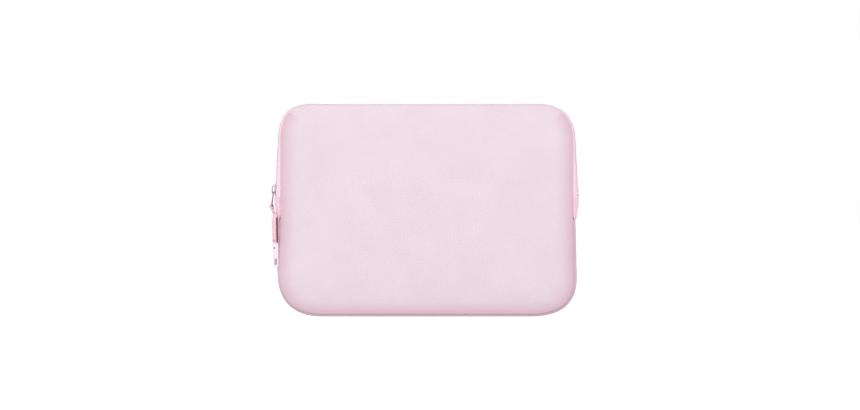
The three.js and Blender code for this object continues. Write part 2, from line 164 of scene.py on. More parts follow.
STITCH = {"pitch": 2.8, "length": 2.1, "radius": 0.2}
STITCH_RINGS = (  # place along the stitch from -1 to 1, lift and thickness as shares of the thread's radius
    (-1, -0.9, 0.45),
    (-0.8, 0.1, 0.9),
    (0, 0.75, 1),
    (0.8, 0.1, 0.9),
    (1, -0.9, 0.45),
)
STITCH_SUNK = 0.02
TAPE_STITCH_Y = 5.4
TAB_STITCH = {"inset": 3, "reach": 6.6, "count": 6, "length": 1.7, "probe": 0.4}
TACK = {"pitch": 0.62, "length": 4.6, "radius": 0.2, "count": 4}
TACK_DROPS = (6.5, 38.2)  # below the eye
SLAB_LIP = 0.55  # thickness at a slab's top and bottom, as a share of its middle's
SLAB_CORNER_STEPS = 6
PULL_ROUNDING = (1.6, 0.8)  # radius of the end tab's corners, and of its edges
PATCH_ROUNDING = (0.6, 0.25)
PATCH_HALF_THICKNESS = 0.3
STRAP_THICKNESS = 4.8  # the strap is 0.8 mm thicker than its CAD solid
PLY = 0.5  # thickness of the strap's webbing
STRAP_TURNED_DROP = 12  # below the eye, where the strap has finished turning
EYE_TWIST = 0.4  # share of the twist that the strap has already at the eye
SEWN_OFFSET = 0.52 * PLY  # a ply's middle from the strap's, where the plies are sewn together
FOLD_DROP = 5.5  # below the eye, where the plies meet under the fold
PLY_STEPS = 30
FOLD_STEPS = 10
PARTING = (10.8, 14.8)  # drops below the eye between which the strap's plies part
MEETING = (-3, 2)  # heights above the end tab between which they meet again
# The core is a dark sheet between the plies, painted shade for the hollow inside the strap's loop.
CORE_DROP = 5.0
CORE_END_GAP = 0.4
CORE_STEPS = 24
CORE_INSET = 0.3
CORE_CROWN = 0.15
CORE_SEWN = 0.06  # half of the core's thickness where the plies are sewn together
TACK_LIFT = 1.04 * PLY


# -------- meshes


def make_piece(name, points, faces, material, cloth=None, closed=True):
    """A mesh object from points in millimetres. cloth gives each point's place on the flat fabric."""
    mesh = bpy.data.meshes.new(name)
    mesh.from_pydata([Vector(point) * MM for point in points], [], faces)
    if closed:
        shell = bmesh.new()
        shell.from_mesh(mesh)
        bmesh.ops.recalc_face_normals(shell, faces=shell.faces)
        shell.to_mesh(mesh)
        shell.free()
    mesh.polygons.foreach_set("use_smooth", [True] * len(mesh.polygons))
    flat = mesh.attributes.new("cloth", "FLOAT_VECTOR", "POINT")
    places = cloth or [(point[0], point[2], point[1]) for point in points]
    flat.data.foreach_set("vector", [value for place in places for value in place])
    if material:
        mesh.materials.append(material)
    piece = bpy.data.objects.new(name, mesh)
    bpy.context.scene.collection.objects.link(piece)
    return piece


def subdivide(piece):
    modifier = piece.modifiers.new("smooth", "SUBSURF")
    modifier.levels = 1
    modifier.render_levels = 1
    return piece


def loft_faces(rings, count, loop=False):
    """Faces that join rings of count points. A loop's last ring joins its first. Other ends are capped."""
    faces = []
    for ring in range(rings if loop else rings - 1):
        here = ring * count
        there = (ring + 1) % rings * count
        for i in range(count):
            following = (i + 1) % count
            faces.append((here + i, here + following, there + following, there + i))
    if not loop:
        faces.append(tuple(range(count)))
        faces.append(tuple((rings - 1) * count + i for i in reversed(range(count))))
    return faces


def loft(name, rings, material, cloth=None, loop=False):
    """A closed body through rings of points."""
    points = [point for ring in rings for point in ring]
    return make_piece(name, points, loft_faces(len(rings), len(rings[0]), loop), material, cloth)


class Merged:
    """Many small closed bodies in one mesh."""

    def __init__(self):
        self.points = []
        self.faces = []

    def add(self, rings):
        first = len(self.points)
        count = len(rings[0])
        self.points += [point for ring in rings for point in ring]
        for face in loft_faces(len(rings), count):
            self.faces.append(tuple(first + i for i in face))

    def piece(self, name, material):
        return make_piece(name, self.points, self.faces, material)


def smoothstep(value, low, high):
    share = min(1.0, max(0.0, (value - low) / (high - low)))
    return share * share * (3 - 2 * share)


# -------- the soft outline


def flare(x, z):
    """How far the panels spread at a place, as the sleeve's lower left side sags outwards."""
    fade = math.exp(-(((z - FLARE["middle"]) / FLARE["reach"]) ** 2))
    return FLARE["width"] * fade * smoothstep(-x, FLARE["start"], PANEL_HALF_WIDTH)


def slouched(point, x, z):
    """A point moved as the soft sleeve is at a place of its outline."""
    moved = point - Vector((flare(x, z), 0, 0))
    for (middle_x, middle_z), (push_x, push_z), reach in BULGES:
        share = math.exp(-((x - middle_x) ** 2 + (z - middle_z) ** 2) / reach**2)
        moved += Vector((push_x, 0, push_z)) * share
    return moved


# -------- padded panels


def insets(half):
    """Distances in from an edge to the middle line: close together where the panel rounds over, then even."""
    rounding = [
        ROUND_OVER * (1 - math.cos(step / PANEL_ROUND_STEPS * math.pi / 2))
        for step in range(PANEL_ROUND_STEPS)
    ]
    count = round((half - ROUND_OVER) / PANEL_GRID)
    return rounding + [ROUND_OVER + (half - ROUND_OVER) * step / count for step in range(count + 1)]


def lines_across(half):
    """Grid lines from one edge to the other, as (side, inset)."""
    near = insets(half)
    return [(-1, inset) for inset in near] + [(1, inset) for inset in reversed(near[:-1])]


COLUMNS = lines_across(PANEL_HALF_WIDTH)
ROWS = lines_across((PANEL_EDGE[1] - PANEL_EDGE[-1]) / 2)


def under_skin(inset, depth):
    """An inset on the panel's outer skin, moved to a layer that lies a depth under it."""
    return depth + (ROUND_OVER - depth) * inset / ROUND_OVER if inset < ROUND_OVER else inset


def panel_point(face, column, row, depth):
    """A point of a panel's layer. face is -1 for the front and 1 for the back."""
    (side, across), (end, up) = column, row
    span = CORNER_SPAN[end]
    a = span - under_skin(across, depth)
    b = span - under_skin(up, depth)
    if a > 0 and b > 0:
        rounded = max(a, b) / (a**CORNER_POWER + b**CORNER_POWER) ** (1 / CORNER_POWER)
        a *= rounded
        b *= rounded
    turn = min(1.0, min(across, up) / ROUND_OVER)
    crown = math.sqrt(1 - (1 - turn) ** 2)
    x = side * (PANEL_HALF_WIDTH - span + a)
    z = PANEL_EDGE[end] - end * span + end * b
    return slouched(Vector((x, face * (SEAM_Y + (FACE_Y - SEAM_Y - depth) * crown), z)), x, z)


def panel_grid(face, depth):
    return [panel_point(face, column, row, depth) for row in ROWS for column in COLUMNS]


def grid_faces(first, forwards):
    """The faces of one grid of a panel, whose points start at first."""
    wide = len(COLUMNS)
    faces = []
    for r in range(len(ROWS) - 1):
        for c in range(wide - 1):
            corner = first + r * wide + c
            face = (corner, corner + 1, corner + wide + 1, corner + wide)
            faces.append(face if forwards else face[::-1])
    return faces


def border_of_grid():
    """The grid's outermost points, in order round it."""
    wide, tall = len(COLUMNS), len(ROWS)
    return (
        [c for c in range(wide)]
        + [r * wide + wide - 1 for r in range(1, tall)]
        + [(tall - 1) * wide + c for c in reversed(range(wide - 1))]
        + [r * wide for r in reversed(range(1, tall - 1))]
    )


def swell(face):
    """How each point of a panel's skin moves, in millimetres, when its padding presses on it from inside."""
    points = panel_grid(face, 0)
    skin = make_piece("swelling_skin", points, grid_faces(0, face < 0), None, closed=False)
    wide, tall = len(COLUMNS), len(ROWS)
    held = [
        r * wide + c
        for r in range(tall)
        for c in range(wide)
        if min(r, c, tall - 1 - r, wide - 1 - c) < HELD_RINGS
    ]
    skin.vertex_groups.new(name="held").add(held, 1.0, "REPLACE")
    cloth = skin.modifiers.new("cloth", "CLOTH")
    for setting, value in SWELL_CLOTH.items():
        setattr(cloth.settings, setting, value)
    cloth.settings.vertex_group_mass = "held"
    cloth.settings.use_pressure = True
    cloth.settings.effector_weights.gravity = 0
    cloth.point_cache.frame_start = 1
    cloth.point_cache.frame_end = SWELL_FRAMES
    for number in range(1, SWELL_FRAMES + 1):
        bpy.context.scene.frame_set(number)
    settled = skin.evaluated_get(bpy.context.evaluated_depsgraph_get()).data
    moves = []
    for before, after in zip(points, settled.vertices):
        move = after.co / MM - before
        if move.length > 0:
            move *= SWELL_CAP * math.tanh(move.length / SWELL_CAP) / move.length
        moves.append(move)
    bpy.data.objects.remove(skin)
    bpy.context.scene.frame_set(1)
    return moves


def edge_shade_mask():
    """How near each point of a panel's grid is to the seam at the sides and bottom, as the mask of the
    painted shade there.

    It is 1 at the seam and 0 at the flat middle.
    """
    return [
        max(0.0, 1 - (min(across, up) if end < 0 else across) / EDGE_SHADE_REACH)
        for end, up in ROWS
        for _, across in COLUMNS
    ]


def panel_layer(name, face, depth, thickness, swelling, material):
    """One layer of a panel: a shallow pan whose lip is at the seam."""
    outside = [point + move for point, move in zip(panel_grid(face, depth), swelling)]
    inside = [point + move for point, move in zip(panel_grid(face, depth + thickness), swelling)]
    faces = grid_faces(0, True) + grid_faces(len(outside), False)
    border = border_of_grid()
    for here, there in zip(border, border[1:] + border[:1]):
        faces.append((here, here + len(outside), there + len(outside), there))
    piece = make_piece(name, outside + inside, faces, material)
    # Near the seam at the sides and bottom, the panels get painted shade.
    painted_shade = piece.data.attributes.new("edge", "FLOAT", "POINT")
    painted_shade.data.foreach_set("value", edge_shade_mask() * 2)
    return subdivide(piece)


# -------- the rim


class Station:
    """A place along the rim: a point on the panels' outline, the way out of it, and the length so far."""

    def __init__(self, x, z, normal, length=0.0):
        self.x = x
        self.z = z
        self.normal = normal
        self.length = length

    def between(self, other, share):
        normal = self.normal.lerp(other.normal, share).normalized()
        return Station(
            self.x + (other.x - self.x) * share,
            self.z + (other.z - self.z) * share,
            normal,
            self.length + (other.length - self.length) * share,
        )

    def shape(self):
        """How far the rim stands out here, and the width over which it rolls back to the seam."""
        low, high = next(
            (low, high) for low, high in zip(RIM_ROWS, RIM_ROWS[1:]) if self.z <= high[0]
        )
        share = max(0.0, (self.z - low[0]) / (high[0] - low[0]))
        out, roll = (low[i] + (high[i] - low[i]) * share for i in (1, 2))
        return out - flare(self.x, self.z) * abs(self.normal.x), roll

    def point(self, y, proud):
        """A point of the rim at a distance from the middle plane, proud of the rim's surface."""
        out, roll = self.shape()
        rolled = min(1.0, max(0.0, (RIM_HALF_WIDTH - abs(y)) / roll))
        reach = out * math.sin(rolled * math.pi / 2) + proud
        point = Vector((self.x + self.normal.x * reach, y, self.z + self.normal.y * reach))
        return slouched(point, self.x, self.z)

    def along(self):
        """The way along the rim, from the left side towards the right side."""
        return Vector((self.normal.y, 0, -self.normal.x))


def corner_station(end, share):
    """A station on a left corner: share runs from 0 at the side to 1 at the top or bottom."""
    span = CORNER_SPAN[end]
    angle = share * math.pi / 2
    across = math.cos(angle) ** (2 / CORNER_POWER) if share < 1 else 0.0
    along = math.sin(angle) ** (2 / CORNER_POWER)
    normal = Vector((-(across ** (CORNER_POWER - 1)), end * along ** (CORNER_POWER - 1)))
    return Station(
        -(PANEL_HALF_WIDTH - span + span * across),
        PANEL_EDGE[end] - end * span + end * span * along,
        normal.normalized(),
    )


def measured(stations):
    """The same stations with their lengths from the first."""
    total = 0.0
    for before, here in zip(stations, stations[1:]):
        total += math.hypot(here.x - before.x, here.z - before.z)
        here.length = total
    return stations


def rim_path(end, low):
    """Fine stations from the left side at height low to the right side.

    They go over the top where end is 1, and under the bottom where it is -1.
    """
    left = [Station(-PANEL_HALF_WIDTH, low, Vector((-1, 0)))]
    left += [corner_station(end, step / CORNER_STEPS) for step in range(CORNER_STEPS + 1)]
    right = [
        Station(-station.x, station.z, Vector((-station.normal.x, station.normal.y)))
        for station in reversed(left)
    ]
    return measured(left + right)


def stations_along(path, first, last, step):
    """Evenly spaced stations between two lengths of a path."""
    count = max(1, round((last - first) / step))
    found = []
    index = 0
    for number in range(count + 1):
        length = first + (last - first) * number / count
        while index < len(path) - 2 and path[index + 1].length < length:
            index += 1
        before, after = path[index], path[index + 1]
        share = (length - before.length) / max(1e-9, after.length - before.length)
        found.append(before.between(after, min(1.0, max(0.0, share))))
    return found


def evenly(path, step):
    return stations_along(path, 0, path[-1].length, step)


def side_path(side, low, high):
    """Two stations, up one straight side."""
    ends = [Station(side * PANEL_HALF_WIDTH, z, Vector((side, 0))) for z in (low, high)]
    return measured(ends)


def spread(low, high, steps):
    return [low + (high - low) * step / steps for step in range(steps + 1)]


def rim_band(name, stations, ys, low, high, material, lift=lambda station, y: 0.0):
    """A band of fabric that follows the rim, from one height over the rim's surface to another."""
    rings = []
    cloth = []
    for station in stations:
        outer = [station.point(y, high + lift(station, y)) for y in ys]
        inner = [station.point(y, low + lift(station, y)) for y in reversed(ys)]
        rings.append(outer + inner)
        cloth += [(station.length, y, 0) for y in ys]
        cloth += [(station.length, y, 0) for y in reversed(ys)]
    return subdivide(loft(name, rings, material, cloth))


def binding_ring(face, station):
    """The section of a tape folded round the raw edges inside a seam: a U that is open towards the seam."""
    middle = (BINDING_OUTER + BINDING_INNER) / 2
    level = (BINDING_NEAR + BINDING_FAR) / 2
    outline = [
        (BINDING_OUTER, BINDING_FAR),
        (middle, BINDING_FAR),
        (BINDING_INNER - BINDING_TAPE, BINDING_FAR),
        (BINDING_INNER, level),
        (BINDING_INNER - BINDING_TAPE, BINDING_NEAR),
        (middle, BINDING_NEAR),
        (BINDING_OUTER, BINDING_NEAR),
        (BINDING_OUTER, BINDING_NEAR + BINDING_TAPE),
        (middle, BINDING_NEAR + BINDING_TAPE),
        (BINDING_INNER - 2 * BINDING_TAPE, level),
        (middle, BINDING_FAR - BINDING_TAPE),
        (BINDING_OUTER, BINDING_FAR - BINDING_TAPE),
    ]
    points = (
        Vector((station.x - station.normal.x * inset, face * y, station.z - station.normal.y * inset))
        for inset, y in outline
    )
    return [slouched(point, station.x, station.z) for point in points]


def binding(name, face, stations, material):
    """The binding along a whole seam, as one loop."""
    rings = [binding_ring(face, station) for station in stations]
    cloth = [(station.length, number, 0) for station in stations for number in range(len(rings[0]))]
    return subdivide(loft(name, rings, material, cloth, loop=True))


def whole_outline():
    """Stations round the whole seam, without the repeated first one."""
    middle = (PANEL_EDGE[-1] + PANEL_EDGE[1]) / 2
    over = evenly(rim_path(1, middle), RIM_STEP)
    under = evenly(rim_path(-1, middle), RIM_STEP)
    for station in under:
        station.length = -station.length
    return over[:-1] + under[:0:-1]


# -------- zip teeth and stitches


def ring_about(centre, first, second, corners=6):
    """A closed ring of points about a centre, in the plane of two half-axes."""
    angles = [2 * math.pi * (corner + 0.5) / corners for corner in range(corners)]
    return [centre + first * math.cos(angle) + second * math.sin(angle) for angle in angles]


def tooth(station, face, near):
    """One coil of the zip: a rounded bar across the tape, with a wider head where it meshes."""
    along = station.along() * TOOTH_HALF
    out = Vector((station.normal.x, 0, station.normal.y)) * (TOOTH_HEIGHT * TOOTH_SEAT)
    rings = []
    for share, wide, high in TOOTH_RINGS:
        centre = station.point(face * (TOOTH_FAR + (near - TOOTH_FAR) * share), TOOTH_HEIGHT)
        rings.append(ring_about(centre, along * wide, out * high))
    return rings


def zip_teeth(name, face, material):
    """One half of the zip's teeth. The two halves are half a pitch apart."""
    path = rim_path(1, COIL_BOTTOM_Z)
    count = int(path[-1].length / TOOTH_PITCH) - 1
    first = TOOTH_PITCH / 2 if face > 0 else TOOTH_PITCH
    stations = stations_along(path, first, first + (count - 1) * TOOTH_PITCH, TOOTH_PITCH)
    teeth = Merged()
    for station in stations:
        apart = station.x < 0 and station.z < SLIDER_REACH_Z
        teeth.add(tooth(station, face, TOOTH_APART if apart else TOOTH_MESHED))
    return teeth.piece(name, material)


def stitch(centre, along, out, length, radius):
    """One stitch: a short thread that dips into the fabric at both ends."""
    across = along.cross(out)
    rings = []
    for share, lift, thick in STITCH_RINGS:
        middle = centre + along * (share * length / 2) + out * (lift * radius)
        rings.append(ring_about(middle, across * (radius * thick), out * (radius * thick)))
    return rings


def rim_stitches(name, stations, y, material):
    """A row of stitches along the rim."""
    row = Merged()
    for station in stations:
        here = station.point(y, STITCH_SUNK)
        inner = station.point(y - math.copysign(0.5, y), STITCH_SUNK)
        outer = station.point(y + math.copysign(0.5, y), STITCH_SUNK)
        across = (outer - inner).normalized()
        along = station.along()
        out = along.cross(across).normalized()
        if out.dot(Vector((station.normal.x, 0, station.normal.y))) < 0:
            out = -out
        row.add(stitch(here, along, out, STITCH["length"], STITCH["radius"]))
    return row.piece(name, material)


# -------- the strap and its end tab


def hanging_frame():
    """The strap's own frame: X outwards, Z up, origin at its eye."""
    return (
        Matrix.Translation(EYE)
        @ Matrix.Rotation(STRAP_LEAN, 4, "Y")
        @ Matrix.Rotation(math.pi, 4, "Z")
    )


def strap_turn(drop):
    """How far the strap has turned and drifted at a drop below the eye, from 0 to 1."""
    return smoothstep(drop, 0, STRAP_TURNED_DROP)


def strap_half(drop):
    """Half of the strap's whole thickness at a drop below the eye."""
    return (STRAP_TOP_THICKNESS + (STRAP_THICKNESS - STRAP_TOP_THICKNESS) * strap_turn(drop)) / 2


def strap_place(drop, local):
    """A point of the strap, from its place across the section at a drop below the eye."""
    turned = strap_turn(max(0.0, drop))
    middle = Vector((-STRAP_INWARDS * turned, STRAP_FORWARDS * turned, -drop))
    twist = STRAP_TWIST * (EYE_TWIST + (1 - EYE_TWIST) * turned)
    return hanging_frame() @ (middle + Matrix.Rotation(twist, 3, "Z") @ local)


def strap_parted(drop):
    """How far the plies stand apart, from 0 to 1: they part below the fold and meet at the end tab."""
    return smoothstep(drop, *PARTING) * smoothstep(STRAP_LENGTH - drop, *MEETING)


def strap_line():
    """The folded strap as one line of (drop, offset from its middle).

    It goes up one ply, round the eye and down the other ply.
    """
    ply = []
    for step in range(PLY_STEPS):
        drop = STRAP_LENGTH * (1 - step / PLY_STEPS)
        offset = SEWN_OFFSET + (strap_half(drop) - PLY / 2 - SEWN_OFFSET) * strap_parted(drop)
        ply.append((drop, offset + (STRAP_EYE - offset) * (1 - smoothstep(drop, 0, FOLD_DROP))))
    angles = [step / FOLD_STEPS * math.pi for step in range(FOLD_STEPS + 1)]
    arc = [(-STRAP_EYE * math.sin(angle), STRAP_EYE * math.cos(angle)) for angle in angles]
    return ply + arc + [(drop, -offset) for drop, offset in reversed(ply)]


def strap_webbing(material):
    """A narrow strap folded over the link, whose plies twist together below it."""
    line = strap_line()
    half = STRAP_WIDTH / 2
    thick = PLY / 2
    face = [share * half for share in (-0.9, -0.45, 0, 0.45, 0.9)]
    section = [(thick, across) for across in face] + [(0, half)]
    section += [(-thick, across) for across in reversed(face)] + [(0, -half)]
    rings = []
    cloth = []
    length = 0.0
    for number, (drop, offset) in enumerate(line):
        before = Vector(line[max(0, number - 1)])
        after = Vector(line[min(len(line) - 1, number + 1)])
        way = (after - before).normalized()
        length += (Vector((drop, offset)) - before).length
        ring = []
        for up, across in section:
            ring.append(strap_place(drop + way.y * up, Vector((offset - way.x * up, across, 0))))
            cloth.append((length, across, 0))
        rings.append(ring)
    return subdivide(loft("pull_webbing", rings, material, cloth))


def strap_shade_sheet(material):
    """A dark sheet between the plies, which shows along the strap's open edge: painted shade for the hollow
    inside the loop.
    """
    half = STRAP_WIDTH / 2 - CORE_INSET
    crown = half + CORE_CROWN
    rings = []
    cloth = []
    for drop in spread(CORE_DROP, STRAP_LENGTH - CORE_END_GAP, CORE_STEPS):
        thick = CORE_SEWN + (strap_half(drop) - PLY - CORE_SEWN) * strap_parted(drop)
        corners = ((thick, -half), (thick, half), (0, crown), (-thick, half), (-thick, -half), (0, -crown))
        rings.append([strap_place(drop, Vector((*corner, 0))) for corner in corners])
        cloth += [(drop, corner[1], corner[0]) for corner in corners]
    return subdivide(loft("pull_webbing_shade_sheet", rings, material, cloth))


def strap_tacks(material):
    """Bars of thread across the strap, one close under the fold and one above the end tab."""
    tacks = Merged()
    for first in TACK_DROPS:
        for number in range(TACK["count"]):
            drop = first + number * TACK["pitch"]
            surface = TACK_LIFT + (strap_half(drop) - TACK_LIFT) * strap_parted(drop)
            for outside in (-1, 1):
                centre = strap_place(drop, Vector((outside * surface, 0, 0)))
                beside = strap_place(drop + 0.02, Vector((outside * surface, 0.5, 0)))
                above = strap_place(drop, Vector((outside * (surface + 1), 0, 0)))
                along = (beside - centre).normalized()
                out = (above - centre).normalized()
                tacks.add(stitch(centre, along, out, TACK["length"], TACK["radius"]))
    return tacks.piece("pull_webbing_tacks", material)


def pull_tab_frame():
    """The end tab's own frame: X outwards, Z up, origin at the middle of its top."""
    place = Vector((-TAB_INWARDS, TAB_FORWARDS, -STRAP_LENGTH - GAP))
    return hanging_frame() @ Matrix.Translation(place) @ Matrix.Rotation(TAB_TWIST, 4, "Z")


def slab_heights(low, high, corner):
    """The heights of a slab's rings, each with how far the rounded corners pull its sides in."""
    angles = [step / SLAB_CORNER_STEPS * math.pi / 2 for step in range(SLAB_CORNER_STEPS + 1)]
    foot = [(low + corner * (1 - math.cos(angle)), corner * (1 - math.sin(angle))) for angle in angles]
    middle = [(low + corner + (high - low - 2 * corner) * share, 0) for share in (0.2, 0.4, 0.6, 0.8)]
    return foot + middle + [(low + high - z, pulled) for z, pulled in reversed(foot)]


def rounded_slab(name, to_place, low, high, half_width, half_thickness, corner, edge, centre_x, material):
    """An upright slab with rounded corners and softly rounded edges."""
    rings = []
    for z, pulled in slab_heights(low, high, corner):
        wide = half_width - pulled
        end = min(1.0, (min(z - low, high - z) / edge))
        round_over = math.sqrt(max(0.0, 1 - (1 - end) ** 2))
        thick = half_thickness * (SLAB_LIP + (1 - SLAB_LIP) * round_over)
        ring = []
        for quarter, (sx, sy) in enumerate(((1, 1), (-1, 1), (-1, -1), (1, -1))):
            for step in range(4):
                angle = (quarter + step / 3) * math.pi / 2
                x = sx * (thick - edge / 2) + edge / 2 * math.cos(angle)
                y = sy * (wide - edge) + edge * math.sin(angle)
                ring.append(to_place @ Vector((centre_x + x, y, z)))
        rings.append(ring)
    return subdivide(loft(name, rings, material))


# -------- materials


def colour(red, green, blue):
    """A display colour, 0 to 255, as linear light."""
    def linear(value):
        share = value / 255
        return share / 12.92 if share <= 0.04045 else ((share + 0.055) / 1.055) ** 2.4
    return linear(red), linear(green), linear(blue), 1.0


class Shader:
    """A material and short ways to add nodes to it."""

    def __init__(self, name, **settings):
        self.material = bpy.data.materials.new(name)
        self.material.use_nodes = True
        self.tree = self.material.node_tree
        self.surface = self.tree.nodes["Principled BSDF"]
        for socket, value in settings.items():
            self.surface.inputs[socket.replace("_", " ").title()].default_value = value
        self.cloth = self.node("ShaderNodeAttribute", {}, "Vector", attribute_name="cloth")

    def node(self, kind, inputs, output=0, **settings):
        made = self.tree.nodes.new(kind)
        for name, value in settings.items():
            setattr(made, name, value)
        for socket, value in inputs.items():
            if isinstance(value, bpy.types.NodeSocket):
                self.tree.links.new(value, made.inputs[socket])
            else:
                made.inputs[socket].default_value = value
        return made.outputs[output]

    def math(self, operation, *values):
        return self.node("ShaderNodeMath", dict(enumerate(values)), operation=operation)

    def plus(self, value, weight, base):
        """A value times its weight, plus a base."""
        return self.math("MULTIPLY_ADD", value, weight, base)

    def wave(self, direction, period):
        """A wave from -1 to 1 across the cloth, with a direction and a period in millimetres."""
        length = math.hypot(*direction)
        turn = Vector((*direction, 0)) * (2 * math.pi / period / length)
        dot = self.node("ShaderNodeVectorMath", {0: self.cloth, 1: turn}, "Value", operation="DOT_PRODUCT")
        return self.math("SINE", dot)

    def noise(self, size, detail=2.0, stretch=(1, 1, 1), turn=0.0, place=None):
        """Noise from 0 to 1 with features of a size in millimetres."""
        mapped = self.node(
            "ShaderNodeMapping",
            {"Vector": place or self.cloth, "Scale": stretch, "Rotation": (0, 0, turn)},
        )
        return self.node(
            "ShaderNodeTexNoise",
            {"Vector": mapped, "Scale": 1 / size, "Detail": detail, "Roughness": 0.6},
        )

    def ramp(self, value, low, high):
        """A value from low to high, stretched to 0 to 1."""
        return self.node("ShaderNodeMapRange", {"Value": value, "From Min": low, "From Max": high})

    def mix(self, first, second, factor):
        return self.node("ShaderNodeMix", {0: factor, 6: first, 7: second}, 2, data_type="RGBA")

    def finish(self, base, roughness, height, depth):
        """Connects the colour, the roughness and a height of at most depth millimetres."""
        self.tree.links.new(base, self.surface.inputs["Base Color"])
        self.tree.links.new(roughness, self.surface.inputs["Roughness"])
        inputs = {"Strength": 1.0, "Distance": depth * MM, "Height": height}
        bump = self.node("ShaderNodeBump", inputs, "Normal")
        self.tree.links.new(bump, self.surface.inputs["Normal"])
        return self.material


def woven(name, light, dark, edge, depth, **settings):
    """A fine twill: slanting ribs, crossed by weaker ones, in mottled yarn.

    Towards a panel's seam at the sides and bottom, the edge colour is mixed in as painted shade.
    """
    cloth = Shader(name, **settings)
    ribs = cloth.wave((1, 1.04), TWILL_PITCH)
    crossing = cloth.wave((1, -0.9), TWILL_PITCH * 0.62)
    yarn = cloth.noise(TWILL_PITCH * 0.55, 2.0)
    specks = cloth.noise(TWILL_PITCH * 0.25, 1.0)
    tone = cloth.noise(45, 2.0)
    weave = cloth.plus(ribs, 0.8, cloth.math("MULTIPLY", crossing, 0.2))
    mottled = cloth.plus(weave, 0.45, yarn)
    mottled = cloth.plus(specks, 0.4, mottled)
    mottled = cloth.plus(tone, 0.5, mottled)
    base = cloth.mix(dark, light, cloth.ramp(mottled, 0.45, 1.45))
    # The edge attribute masks the painted shade, and edge is its colour.
    painted_shade = cloth.node("ShaderNodeAttribute", {}, "Fac", attribute_name="edge")
    shade_share = cloth.math("MULTIPLY", cloth.math("POWER", painted_shade, 1.5), 0.9)
    base = cloth.mix(base, edge, shade_share)
    roughness = cloth.plus(yarn, 0.12, 0.8)
    height = cloth.plus(weave, 0.5, yarn)
    return cloth.finish(base, roughness, height, depth)


def ribbed(name, light, dark, rib, pick, depth, **settings):
    """Narrow tape or webbing: ribs along it, crossed by finer picks, with a soft heather."""
    cloth = Shader(name, **settings)
    ribs = cloth.wave((0, 1), rib)
    picks = cloth.wave((1, 0.25), pick)
    yarn = cloth.noise(rib, 3.0, (0.5, 1, 1))
    weave = cloth.plus(picks, 0.35, cloth.math("MULTIPLY", ribs, 0.5))
    tone = cloth.noise(18, 2.0)
    shade = cloth.plus(weave, 0.25, cloth.plus(tone, 0.5, yarn))
    base = cloth.mix(dark, light, cloth.ramp(shade, 0.3, 1.1))
    roughness = cloth.plus(yarn, 0.15, 0.72)
    return cloth.finish(base, roughness, weave, depth)


def plush(name, light, dark, depth, **settings):
    """A short brushed pile."""
    cloth = Shader(name, **settings)
    pile = cloth.noise(0.5, 2.0)
    tufts = cloth.noise(3.5, 3.0, (1, 0.6, 1))
    brushed = cloth.noise(40, 2.0, (1, 0.35, 1), 0.4)
    shade = cloth.plus(brushed, 0.6, cloth.plus(tufts, 0.4, pile))
    base = cloth.mix(dark, light, cloth.ramp(shade, 0.6, 1.4))
    roughness = cloth.plus(tufts, 0.1, 0.85)
    return cloth.finish(base, roughness, cloth.math("ADD", pile, tufts), depth)


def grained(name, light, dark, size, depth, rough, **settings):
    """Smooth leather, foam or moulded rubber: small pebbles, pores and slight wear."""
    skin = Shader(name, **settings)
    pebbles = skin.node(
        "ShaderNodeTexVoronoi",
        {"Vector": skin.cloth, "Scale": 1 / size, "Randomness": 1.0},
        "Distance",
    )
    pores = skin.noise(size * 0.4, 2.0)
    wear = skin.noise(6, 3.0)
    shade = skin.plus(pores, 0.3, skin.plus(wear, 0.7, pebbles))
    base = skin.mix(light, dark, skin.ramp(shade, 0.5, 1.5))
    roughness = skin.plus(wear, 0.25, rough)
    height = skin.plus(pebbles, -1.0, pores)
    return skin.finish(base, roughness, height, depth)


def brushed_metal(name, light, dark):
    """Nickel plate: fine polishing lines, small dents and duller patches."""
    metal = Shader(name, metallic=1.0)
    place = metal.node("ShaderNodeNewGeometry", {}, "Position")
    place = metal.node("ShaderNodeVectorMath", {0: place, "Scale": 1 / MM}, operation="SCALE")
    lines = metal.noise(0.25, 2.0, (1, 1, 0.12), place=place)
    patches = metal.noise(2.5, 3.0, place=place)
    base = metal.mix(dark, light, metal.ramp(patches, 0.3, 0.7))
    roughness = metal.plus(patches, 0.3, metal.plus(lines, 0.12, 0.18))
    return metal.finish(base, roughness, metal.math("ADD", lines, patches), 0.02)


TWILL_PITCH = 1.73
SHEEN = {"sheen_weight": 0.25, "sheen_roughness": 0.5}
# A darker rose, painted shade near the panels' seams at the sides and bottom.
EDGE_SHADE_ROSE = colour(221, 182, 197)

COVER_FABRIC = woven("cover_fabric", colour(243, 228, 236), colour(224, 203, 214), EDGE_SHADE_ROSE, 0.12, **SHEEN)
# The rim strip is the cover's fabric, made darker as painted shade for the side strip turned from the light.
RIM_FABRIC_SHADED = woven("rim_fabric_shaded", colour(222, 194, 206), colour(205, 175, 188), EDGE_SHADE_ROSE, 0.12, **SHEEN)
LINING_FABRIC = plush("lining_fabric", colour(232, 208, 219), colour(214, 184, 198), 0.25, **SHEEN)
FOAM_SHEET = grained("foam_sheet", colour(232, 222, 226), colour(214, 200, 206), 0.8, 0.15, 0.75)
ZIP_TAPE = ribbed("zip_tape_fabric", colour(255, 230, 241), colour(248, 212, 227), 0.9, 0.7, 0.12, **SHEEN)
TAB_FABRIC = ribbed("end_tab_fabric", colour(255, 216, 232), colour(250, 200, 219), 1.1, 0.8, 0.15, **SHEEN)
BINDING_FABRIC = ribbed(
    "binding_fabric", colour(236, 196, 212), colour(220, 172, 192), 0.9, 0.8, 0.12, **SHEEN
)
WEBBING = ribbed("webbing_fabric", colour(255, 218, 232), colour(248, 196, 214), 1.1, 0.9, 0.18, **SHEEN)
